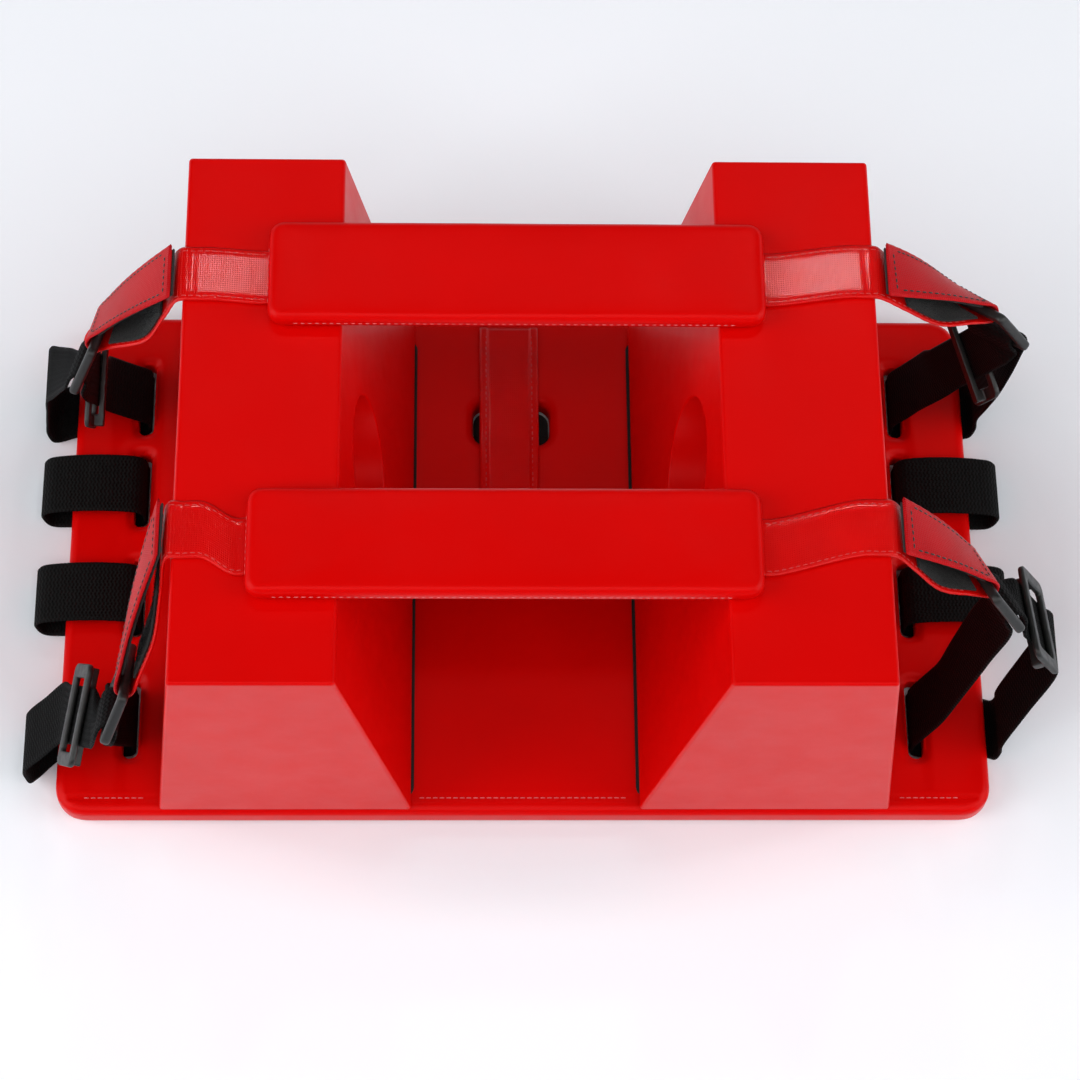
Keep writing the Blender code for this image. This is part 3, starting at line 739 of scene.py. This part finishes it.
# ---- stitches and loose fibres ----
# Rings of a stitch: place along its half length, and size against its radius.
STITCH_RINGS = ((-1.0, 0.35), (-0.72, 0.9), (0.0, 1.0), (0.72, 0.9), (1.0, 0.35))


def add_stitch(verts, faces, centre, travel, across, face, length, radius):
    """One thread stitch: a slim capsule whose ends dive into the cloth."""
    start = len(verts)
    for along, size in STITCH_RINGS:
        middle = centre + travel * (along * length / 2) - face * (radius * 1.1 * along * along)
        for corner in range(STITCH_SIDES):
            angle = corner * 2 * pi / STITCH_SIDES
            verts.append(middle + (across * cos(angle) + face * sin(angle)) * radius * size)
    add_tube_faces(faces, start, len(STITCH_RINGS), STITCH_SIDES)
    faces.append(tuple(range(start, start + STITCH_SIDES))[::-1])
    faces.append(tuple(range(len(verts) - STITCH_SIDES, len(verts))))


def stitch_places(first, last):
    count = int((last - first) / STITCH_PITCH)
    return [first + (index + 0.5) * STITCH_PITCH for index in range(count)]


def stitch_band(name, band, lines, height, shade, ends=(), radius=THREAD_RADIUS,
                length=STITCH_LENGTH):
    """Lines of stitches along a band: lines are (v, first u, last u); ends are (u, half width)."""
    verts, faces = [], []
    for v, first, last in lines:
        for u in stitch_places(first, last):
            centre, travel, across, face = band.at(u, v, height)
            add_stitch(verts, faces, centre, travel, across, face, length, radius)
    for u, half in ends:
        for v in stitch_places(-half, half):
            centre, travel, across, face = band.at(u, v, height)
            add_stitch(verts, faces, centre, across, travel, face, length, radius)
    return make_object(name, verts, faces, shade)


# Rings of a fibre: place along it, and size against its radius.
FIBRE_RINGS = ((0.0, 1.0), (0.55, 0.9), (1.0, 0.5))
FIBRE_SIDES = 3


def add_fibre(verts, faces, root, lean, side_way, length, draw):
    """One loose fibre: a bent tube with an open root that is sunk in the pile."""
    other = lean.cross(side_way)
    start = len(verts)
    for share, size in FIBRE_RINGS:
        bend = side_way * (draw.uniform(-0.3, 0.3) * length * share)
        for corner in range(FIBRE_SIDES):
            angle = corner * 2 * pi / FIBRE_SIDES
            ring = side_way * cos(angle) + other * sin(angle)
            verts.append(root + lean * length * share + bend + ring * FIBRE_RADIUS * size)
    add_tube_faces(faces, start, len(FIBRE_RINGS), FIBRE_SIDES)
    faces.append(tuple(range(len(verts) - FIBRE_SIDES, len(verts))))


def fuzz_band(name, band, shade):
    """Short loose fibres standing off a pile patch."""
    draw = random.Random(FIBRE_SEED)
    height = TAB_PATCH_THICK / 2 - 0.0001
    verts, faces = [], []
    for _ in range(FIBRE_COUNT):
        u = draw.uniform(0.0, band.length)
        v = draw.uniform(-PATCH_WIDTH / 2, PATCH_WIDTH / 2)
        root, travel, across, face = band.at(u, v, height)
        lean = face + travel * draw.uniform(-0.9, 0.9) + across * draw.uniform(-0.9, 0.9)
        lean = lean.normalized()
        side_way = lean.cross(travel).normalized()
        length = FIBRE_LENGTH * draw.uniform(0.5, 1.2)
        add_fibre(verts, faces, root, lean, side_way, length, draw)
    return make_object(name, verts, faces, shade)


# ---- straps, tabs and webbing ----
def make_strap(corner, pad_end, pad_y, shades):
    """A corner's strap from its pad to the ring, with its hem stitches."""
    name = corner.name + "_strap"
    band = Band(strap_stations(corner, pad_end, pad_y), STRAP.row)
    if band.rows[0].face.z < 0:
        band.flip()
    strap = band_piece(name + "_cover", band, STRAP, shades["strap"])
    place(strap, "base", "red_coated_strap", name)
    edge = STRAP_WIDTH / 2 - STRAP_HEM
    lines = [(sign * edge, POCKET + 0.001, band.length - 0.012) for sign in (-1, 1)]
    thread = stitch_band(name + "_stitches", band, lines, STRAP_THICK / 2, shades["red_thread"])
    place(thread, "base", "red_coated_strap")


def make_strap_pile(corner, pad_end, pad_y, shades):
    """The loop pile on the strap's hanging stretch, between the block's edge and the ring."""
    name = corner.name + "_strap"
    stations = strap_stations(corner, pad_end, pad_y) + wrap_stations(corner, (135, 180))
    path = smooth_path(stations, False, PATCH_PATH_STEPS)
    hanging = path[6 * PATCH_PATH_STEPS:8 * PATCH_PATH_STEPS + 2]
    band = Band(shifted(hanging, PATCH_STANDOFF, corner.above), PILE.row, toward=corner.above)
    patch = band_piece(name + "_pile", band, PILE, shades["pile"])
    place(patch, "base", "loop_pile", name + "_loop_patch")
    fuzz = fuzz_band(name + "_pile_fibres", band, shades["pile"])
    place(fuzz, "base", "loop_pile")


def make_tab(corner, shades):
    """The strap's end, folded back over the ring's bar and sewn round with black thread."""
    name = corner.name + "_strap_tab"
    around = wrap_stations(corner, (90, 135))
    stations = tab_stations(corner)
    band = Band(around + stations, TAB.row, toward=corner.above)
    turn = WRAP * pi / 2
    tab = band_piece(name + "_cover", band, TAB, shades["tab"])
    finish_piece(tab, "red_coated_strap", name)
    edge = STRAP_WIDTH / 2 - 0.0030
    lines = [(sign * edge, turn + 0.003, band.length - 0.003) for sign in (-1, 1)]
    ends = [(band.length - 0.0032, edge), (turn + 0.0028, edge)]
    thread = stitch_band(name + "_stitches", band, lines, STRAP_THICK / 2, shades["black_thread"],
                         ends, TAB_THREAD_RADIUS, TAB_STITCH_LENGTH)
    finish_piece(thread, "red_coated_strap")
    for item in (tab, thread):
        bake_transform(item)


def make_tab_hooks(corner, shades):
    """The hook tape under the tab, which starts just clear of the fold."""
    name = corner.name + "_strap_tab"
    path = smooth_path(tab_stations(corner), False, PATCH_PATH_STEPS)
    under = shifted(path[PATCH_PATH_STEPS - 1:], PATCH_STANDOFF, -corner.above)
    band = Band(under, PILE.row, toward=-corner.above)
    patch = band_piece(name + "_hooks", band, PILE, shades["hook"])
    place(patch, corner.name + "_tab", "hook_tape", name + "_hook_patch")


def make_webbing(name, stations, shade):
    band = Band(stations, WEBBING.row, closed=True)
    item = band_piece(name + "_weave", band, WEBBING, shade)
    place(item, "base", "black_webbing", name)


# ---- foam ----
def bake_modifiers(item):
    """Replace an object's mesh with what its modifiers make of it, shaded smooth."""
    name = item.data.name
    shade_smooth(item.data)
    bpy.context.view_layer.update()
    mesh = bpy.data.meshes.new_from_object(item.evaluated_get(bpy.context.evaluated_depsgraph_get()))
    item.modifiers.clear()
    item.data = mesh
    mesh.name = name
    shade_smooth(mesh)


def remeshed(node_name, name, voxel, smooth_steps):
    """A finely remeshed copy of a CAD solid, with its edges eased."""
    item = new_object(name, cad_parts[node_name].data.copy())
    weld = item.modifiers.new("weld", 'WELD')
    weld.merge_threshold = 0.00002
    grid = item.modifiers.new("grid", 'REMESH')
    grid.mode = 'VOXEL'
    grid.voxel_size = voxel
    ease = item.modifiers.new("ease", 'SMOOTH')
    ease.factor = 0.5
    ease.iterations = smooth_steps
    bake_modifiers(item)
    return item


def set_shade(item, shade):
    item.data.materials.clear()
    item.data.materials.append(shade)


def near_slot(point):
    """Distance from the nearest webbing slot's edge."""
    away_x = max(0.0, abs(abs(point.x) - SLOT_X) - SLOT_WIDTH / 2)
    away_y = max(0.0, min(abs(point.y - centre_y) for centre_y in SLOT_CENTRES_Y) - SLOT_LENGTH / 2)
    return (away_x * away_x + away_y * away_y) ** 0.5


def far_from_edges(point):
    """True on the flat part of the base's top, clear of its rim, its slots and its hole."""
    rim = min(BASE_WIDTH / 2 - abs(point.x), BASE_DEPTH / 2 - abs(point.y))
    hole_x = abs(point.x - HOLE_X) - HOLE_LENGTH / 2
    hole_y = abs(point.y - HOLE_Y) - HOLE_WIDTH / 2
    return rim > BASE_EASED and near_slot(point) > SLOT_EASED and max(hole_x, hole_y) > SLOT_EASED


def straight_stitches(name, start, end, across, toward, shades):
    """A straight row of stitches, pale with painted glints, on the face of a foam piece that looks
    toward.
    """
    start, end = Vector(start), Vector(end)
    stations = [(start.lerp(end, share), Vector(across)) for share in (0.0, 0.5, 1.0)]
    band = Band(stations, 0.002, toward=Vector(toward))
    row = stitch_band(name, band, [(0.0, 0.0, band.length)], 0.0, shades["painted_glint_thread"])
    place(row, "base", "red_coated_foam")


def make_base_stitches(shades):
    """The near weld line shows a row of stitches, pale with painted glints, wherever no block covers it.
    """
    y = SEAM_INSET - BASE_DEPTH / 2
    for number, (low_x, high_x) in enumerate(((-0.190, -0.162), (-0.046, 0.046), (0.162, 0.190))):
        straight_stitches(f"base_stitches_{number}", (low_x, y, BASE_THICK - 0.0002),
                          (high_x, y, BASE_THICK - 0.0002), (0, 1, 0), (0, 0, 1), shades)


def make_pad_stitches(name, low, high, shades):
    """Stitches, pale with painted glints, along the near side and the left end of a pad."""
    z = low.z + 0.0042
    straight_stitches(name + "_near_stitches", (low.x + 0.010, low.y, z), (high.x - 0.010, low.y, z),
                      (0, 0, 1), (0, -1, 0), shades)
    straight_stitches(name + "_left_stitches", (low.x, low.y + 0.009, z), (low.x, high.y - 0.009, z),
                      (0, 0, 1), (-1, 0, 0), shades)


def bell(distance, reach):
    """1 at no distance, falling smoothly towards 0 beyond the reach."""
    return exp(-(distance / reach) ** 2)


def base_top_sink(point):
    """How far the base's top lies below flat: dips at slots and weld line, and a slow waviness."""
    weld_line = SEAM_INSET - BASE_DEPTH / 2
    dip = SLOT_DIP * bell(near_slot(point), SLOT_DIP_REACH)
    dip += SEAM_DIP * bell(point.y - weld_line, SEAM_DIP_REACH)
    wave = 0.00022 * (1 + noise.noise(point * 24.0)) + 0.00010 * (1 + noise.noise(point * 90.0))
    return dip + wave


def make_base(shades):
    base = remeshed("base_plate", "base_plate_skin", BASE_VOXEL, 2)
    for vertex in base.data.vertices:
        point = vertex.co
        if point.z > BASE_THICK - 0.002:
            if far_from_edges(point):
                point.z = BASE_THICK
            point.z -= base_top_sink(point)
    set_shade(base, shades["vinyl"])
    place(base, "base", "red_coated_foam", "base_plate")


def block_solid(side):
    """The block with crisp rounded edges, before its ear hole is cut."""
    near = BLOCK_CENTRE_Y - BLOCK_DEPTH / 2
    far = BLOCK_CENTRE_Y + BLOCK_DEPTH / 2
    reach = {(False, False): BLOCK_INNER_FOOT, (False, True): BLOCK_OUTER_FOOT,
             (True, False): BLOCK_INNER_TOP, (True, True): BLOCK_OUTER_TOP}
    work = bmesh.new()
    bmesh.ops.create_cube(work, size=1.0)
    for vert in work.verts:
        top, outer = vert.co.z > 0, vert.co.x * side > 0
        vert.co = (side * reach[(top, outer)], far if vert.co.y > 0 else near,
                   BLOCK_TOP_Z if top else BLOCK_FOOT_Z)
    bmesh.ops.bevel(work, geom=work.edges[:], offset=BLOCK_EDGE, segments=5, profile=0.5,
                    affect='EDGES', clamp_overlap=True)
    return work


def bore_solid(side):
    """A cutter for the ear hole, longer than the block is wide."""
    work = bmesh.new()
    turn = Matrix.Translation((side * 0.105, EAR_HOLE_Y, EAR_HOLE_Z)) @ Matrix.Rotation(pi / 2, 4, 'Y')
    bmesh.ops.create_cone(work, cap_ends=True, segments=144, radius1=EAR_HOLE_RADIUS,
                          radius2=EAR_HOLE_RADIUS, depth=0.2, matrix=turn)
    return work


def object_from(work, name):
    mesh = bpy.data.meshes.new(name)
    work.to_mesh(mesh)
    work.free()
    return new_object(name, mesh)


def make_block(side_name, side, shades):
    """The block again with finer edges, a rounder ear hole and a softened rim round it."""
    name = side_name + "_head_block"
    block = object_from(block_solid(side), name + "_skin")
    bore = object_from(bore_solid(side), name + "_bore")
    cut = block.modifiers.new("ear_hole", 'BOOLEAN')
    cut.object = bore
    cut.solver = 'EXACT'
    rim = block.modifiers.new("rim", 'BEVEL')
    rim.width = BLOCK_RIM
    rim.segments = 3
    rim.angle_limit = radians(40)
    flat = block.modifiers.new("flat_faces", 'WEIGHTED_NORMAL')
    flat.keep_sharp = True
    bake_modifiers(block)
    bpy.data.objects.remove(bore, do_unlink=True)
    set_shade(block, shades["vinyl"])
    place(block, side_name + "_block", "red_coated_foam", name)


def edge_distance(point, middle, half):
    """Distance in from the nearest side of a pad, seen from above."""
    return min(half.x - abs(point.x - middle.x), half.y - abs(point.y - middle.y))


def make_pad(name, shades):
    """Flat foam pad in a tight cover: a slight crown, fine waves, and stitches on two sides."""
    low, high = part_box(name)
    pad = remeshed(name, name + "_skin", PAD_VOXEL, 2)
    middle = (low + high) / 2
    half = (high - low) / 2
    for vertex in pad.data.vertices:
        point = vertex.co
        x, y = (point.x - middle.x) / half.x, (point.y - middle.y) / half.y
        if point.z > high.z - 0.001 and edge_distance(point, middle, half) > PAD_EASED:
            point.z = high.z
        rim = max(abs(x) ** 8, abs(y) ** 4)
        lift = (point.z - low.z) / (high.z - low.z)
        crown = PAD_CROWN * (1 - min(1.0, rim)) - PAD_DROOP * rim
        wave = PAD_WAVE * noise.noise(point * 60.0)
        if lift > 0.5:
            point.z += (crown + wave) * (lift - 0.5) * 2
    set_shade(pad, shades["vinyl"])
    place(pad, "base", "red_coated_foam", name)
    make_pad_stitches(name, low, high, shades)


def make_centre_strip(shades):
    z = BASE_THICK + GAP + STRIP_THICK / 2
    across = Vector((1, 0, 0))
    stations = [(Vector((STRIP_X, STRIP_NEAR_Y + (STRIP_FAR_Y - STRIP_NEAR_Y) * step / 4, z)), across)
                for step in range(5)]
    band = Band(stations, STRIP.row, toward=Vector((0, 0, 1)))
    item = band_piece("centre_strip_cover", band, STRIP, shades["strap"])
    place(item, "base", "red_coated_strap", "centre_strip")
    fold = STRIP_WIDTH / 2 - STRIP_HEM_WIDTH + 0.0010
    height = STRIP_THICK / 2 + STRIP_HEM_THICK - STRIP_THICK
    lines = [(sign * fold, 0.002, band.length - 0.002) for sign in (-1, 1)]
    thread = stitch_band("centre_strip_stitches", band, lines, height, shades["red_thread"])
    place(thread, "base", "red_coated_strap")


# ---- hardware and block patches ----
def make_hardware(corner, shades):
    for kind, body in (("ring", "base"), ("adjuster", corner.name + "_slider")):
        name = corner.name + "_" + kind
        item = remeshed(name, name + "_moulding", MOULDING_VOXEL, 3)
        set_shade(item, shades["plastic"])
        place(item, body, "dark_plastic", name)


def shade_plain_nodes(shades):
    """The CAD nodes that are shown as they are only get their materials."""
    # the hole's lining gets the black hook material, so the centre hole shows black
    set_shade(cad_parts["hole_lining"], shades["hook"])
    for side_name in ("left", "right"):
        for kind, shade in (("loop", "pile"), ("hook", "hook")):
            set_shade(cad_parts[f"{side_name}_block_{kind}_patch"], shades[shade])


# ---- stage, light and camera ----
def add_area(name, place_at, aim_at, width, depth, energy):
    light = bpy.data.lights.new(name, 'AREA')
    light.shape = 'RECTANGLE'
    light.size = width
    light.size_y = depth
    light.energy = energy
    item = new_object(name, light)
    item.location = place_at
    item.rotation_euler = (Vector(aim_at) - Vector(place_at)).to_track_quat('-Z', 'Y').to_euler()


def shade_world(tree):
    """Pale at the horizon and dark overhead, so that level faces keep their colour."""
    coordinates = node(tree, "ShaderNodeTexCoord")
    split = node(tree, "ShaderNodeSeparateXYZ")
    link(coordinates.outputs["Generated"], split.inputs[0])
    sky = colour_ramp(split.outputs["Z"], ((0.10, HORIZON), (0.38, ZENITH)))
    link(sky, tree.nodes["Background"].inputs["Color"])


def glow_around_object(tree, shader):
    """The floor glows faintly, but not under the base, where its slots and hole must stay dark."""
    coordinates = node(tree, "ShaderNodeTexCoord")
    stretch = node(tree, "ShaderNodeVectorMath", {1: (1.0, 1.75, 0.0)}, operation='MULTIPLY')
    reach = node(tree, "ShaderNodeVectorMath", operation='LENGTH')
    link(coordinates.outputs["Object"], stretch.inputs[0])
    link(stretch.outputs["Vector"], reach.inputs[0])
    glow = map_range(reach.outputs["Value"], (0.245, 0.0), (0.30, FLOOR_GLOW))
    link(glow, shader.inputs["Emission Strength"])


def add_floor():
    reach, level = 4.0, -0.0004
    verts = [(x * reach, y * reach, level) for x, y in ((-1, -1), (1, -1), (1, 1), (-1, 1))]
    shade, tree, shader = new_material("pale_floor", 0.85)
    shader.inputs["Emission Color"].default_value = (0.95, 0.97, 1.0, 1.0)
    glow_around_object(tree, shader)
    vary_colour(shader, FLOOR, 0.008, noise_height(tree, 1.5))
    floor = make_object("floor", verts, [(0, 1, 2, 3)], shade)


def add_light():
    """A soft studio: a pale horizon, one light overhead, two banks and two small ones behind."""
    world = bpy.data.worlds.new("studio")
    bpy.context.scene.world = world
    world.use_nodes = True
    shade_world(world.node_tree)
    add_area("overhead", (0.0, -1.3, 2.4), (0, 0, 0.05), 2.6, 1.6, 28)
    add_area("left_bank", (-2.1, -0.5, 1.5), (0, 0, 0.05), 2.0, 1.8, 42)
    add_area("right_bank", (2.1, -0.5, 1.5), (0, 0, 0.05), 2.0, 1.8, 34)
    add_area("far_left", (-0.27, 0.93, 1.7), (-0.1, 0, 0.1), 0.10, 0.10, 0.9)
    add_area("far_right", (0.35, 0.93, 1.7), (0.1, 0, 0.1), 0.10, 0.10, 1.2)
    bpy.context.scene.view_settings.view_transform = 'Standard'


def add_camera():
    """Stands over the near end and looks steeply down, slightly turned."""
    yaw, pitch, roll = radians(4.32), radians(65.73), radians(4.08)
    forward = Vector((sin(yaw) * cos(pitch), cos(yaw) * cos(pitch), -sin(pitch)))
    right = Vector((cos(yaw), -sin(yaw), 0.0))
    up = right.cross(forward)
    turned_right = right * cos(roll) + up * sin(roll)
    turned_up = up * cos(roll) - right * sin(roll)
    data = bpy.data.cameras.new("camera")
    data.sensor_width = 36.0
    data.lens = 97.53
    data.shift_x = -0.00569
    data.shift_y = -0.00045
    camera = new_object("camera", data)
    turn = Matrix((turned_right, turned_up, -forward)).transposed().to_4x4()
    camera.matrix_world = Matrix.Translation((-0.0303, -0.5301, 1.2102)) @ turn
    bpy.context.scene.camera = camera


def make_shades():
    return {
        "vinyl": vinyl_material(),
        "strap": coated_strap_material("red_strap", STRAP_RED, 0.36, 0.42, 0.42),
        "tab": coated_strap_material("red_tab", TAB_RED, 0.85, 0.50, 0.05),
        "webbing": webbing_material(),
        "pile": pile_material("loop_pile", 0.95, 1800.0),
        "hook": pile_material("hook_tape", 0.75, 2600.0),
        "plastic": plastic_material(),
        "red_thread": thread_material("red_thread", RED_THREAD),
        # stitches whose pale colour is a painted glint
        "painted_glint_thread": thread_material("painted_glint_thread", PAINTED_GLINT_THREAD),
        "black_thread": thread_material("black_thread", BLACK_THREAD),
    }


def build():
    shades = make_shades()
    make_base(shades)
    make_base_stitches(shades)
    make_centre_strip(shades)
    shade_plain_nodes(shades)
    for side_name, side in (("left", -1), ("right", 1)):
        make_block(side_name, side, shades)
        for place_name, number in (("near", 1), ("far", 2)):
            stations = plain_webbing_stations(side, SLOT_CENTRES_Y[number])
            make_webbing(f"{side_name}_{place_name}_side_webbing", stations, shades["webbing"])
    make_pad("forehead_pad", shades)
    make_pad("chin_pad", shades)
    for corner in CORNERS:
        pad_x, pad_y = FOREHEAD_PAD if "forehead" in corner.name else CHIN_PAD
        pad_end = PAD_LENGTH / 2 + pad_x * corner.side
        make_strap(corner, pad_end, pad_y, shades)
        make_strap_pile(corner, pad_end, pad_y, shades)
        make_tab(corner, shades)
        make_tab_hooks(corner, shades)
        make_webbing(corner.name + "_webbing", corner_webbing_stations(corner), shades["webbing"])
        make_hardware(corner, shades)


build()
add_floor()
add_light()
add_camera()
